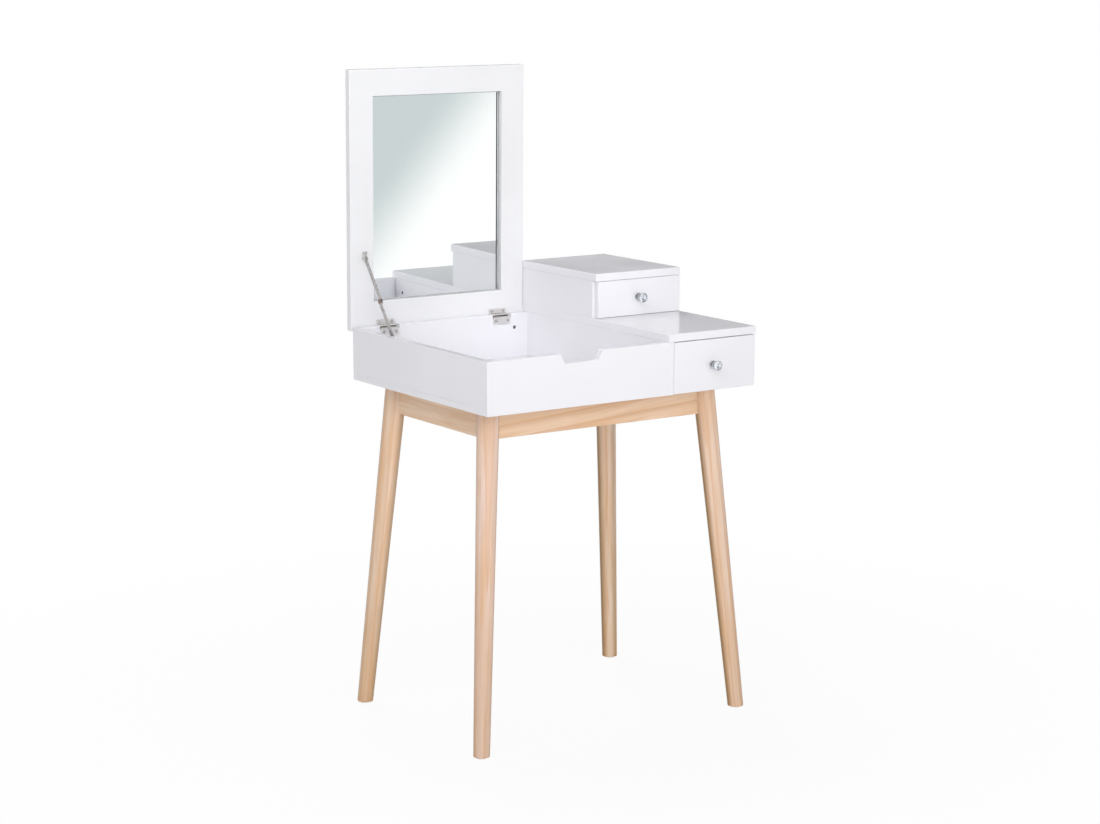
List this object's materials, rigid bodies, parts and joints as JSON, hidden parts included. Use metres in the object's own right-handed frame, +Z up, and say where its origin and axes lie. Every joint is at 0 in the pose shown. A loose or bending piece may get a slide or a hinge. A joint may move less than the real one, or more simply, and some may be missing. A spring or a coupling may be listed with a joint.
{
  "type": "flip top vanity table",
  "caption": "White dressing table with a flip-up mirror lid over a compartment, stacked drawers with faceted knobs and splayed round pine legs.",
  "frame": {"origin": "on the floor, at the middle of the outline with the lid open and the knobs counted", "axes": "+X to the user's right along the front, +Y from the user to the rear, +Z up"},
  "size_m": [0.6162, 0.538, 1.2297],
  "materials": {
    "white_lacquer": "satin lacquer on board",
    "drawer_board": "matt foil on board",
    "pine": "clear satin lacquer",
    "satin_nickel": "satin",
    "zinc_steel": "zinc plated",
    "chrome": "polished",
    "crystal": "cut and polished",
    "mirror": "silvered",
    "tape": "foam",
    "nylon": "moulded"
  },
  "bodies": {
    "table": {"bottom_board": "white_lacquer", "left_side_panel": "white_lacquer", "right_side_panel": "white_lacquer", "front_panel": "white_lacquer", "back_panel": "white_lacquer", "partition_panel": "white_lacquer", "lower_top_board": "white_lacquer", "upper_left_side": "white_lacquer", "upper_right_side": "white_lacquer", "upper_back": "white_lacquer", "upper_top_board": "white_lacquer", "connector_screws": "zinc_steel", "front_apron": "pine", "rear_apron": "pine", "left_apron": "pine", "right_apron": "pine", "front_left_leg": "pine", "front_right_leg": "pine", "rear_left_leg": "pine", "rear_right_leg": "pine", "corner_blocks": "pine", "leg_bolts": "zinc_steel", "frame_screws": "zinc_steel", "foot_glides": "nylon", "left_hinge_case_leaf": "satin_nickel", "right_hinge_case_leaf": "satin_nickel", "hinge_pins": "zinc_steel", "case_screws": "zinc_steel", "stay_case_bracket": "satin_nickel", "lower_drawer_rails": "zinc_steel", "upper_drawer_rails": "zinc_steel"},
    "lid": {"lid_panel": "white_lacquer", "mirror_glass": "mirror", "mirror_tape": "tape", "left_hinge_lid_leaf": "satin_nickel", "right_hinge_lid_leaf": "satin_nickel", "lid_screws": "zinc_steel", "stay_lid_bracket": "satin_nickel"},
    "stay_lower_arm": {"stay_lower_arm": "satin_nickel"},
    "stay_upper_arm": {"stay_upper_arm": "satin_nickel"},
    "lower_drawer": {"lower_drawer_front": "white_lacquer", "lower_drawer_left_side": "drawer_board", "lower_drawer_right_side": "drawer_board", "lower_drawer_back": "drawer_board", "lower_drawer_bottom": "drawer_board", "lower_drawer_runners": "zinc_steel", "lower_knob_base": "chrome", "lower_knob_crystal": "crystal", "lower_knob_screw": "zinc_steel"},
    "upper_drawer": {"upper_drawer_front": "white_lacquer", "upper_drawer_left_side": "drawer_board", "upper_drawer_right_side": "drawer_board", "upper_drawer_back": "drawer_board", "upper_drawer_bottom": "drawer_board", "upper_drawer_runners": "zinc_steel", "upper_knob_base": "chrome", "upper_knob_crystal": "crystal", "upper_knob_screw": "zinc_steel"}
  },
  "joints": [
    {"name": "lid_hinge", "type": "hinge", "parent": "table", "child": "lid", "pos_m": [0, 0.25097, 0.735], "axis": [1, 0, 0], "range_deg": [0, 89.3]},
    {"name": "stay_lower_pivot", "type": "hinge", "parent": "table", "child": "stay_lower_arm", "pos_m": [0, 0.13297, 0.7315], "axis": [1, 0, 0], "range_deg": [-61.8, 0]},
    {"name": "stay_upper_pivot", "type": "hinge", "parent": "lid", "child": "stay_upper_arm", "pos_m": [0, 0.23834, 0.86886], "axis": [1, 0, 0], "range_deg": [0, 35.1]},
    {"name": "lower_drawer_slide", "type": "slide", "parent": "table", "child": "lower_drawer", "axis": [0, -1, 0], "range_m": [0, 0.28]},
    {"name": "upper_drawer_slide", "type": "slide", "parent": "table", "child": "upper_drawer", "axis": [0, -1, 0], "range_m": [0, 0.14]}
  ],
  "couplings": [
    {"joint": "stay_lower_pivot", "follows": "lid_hinge", "ratio": -0.69185},
    {"joint": "stay_upper_pivot", "follows": "lid_hinge", "ratio": 0.39199}
  ]
}
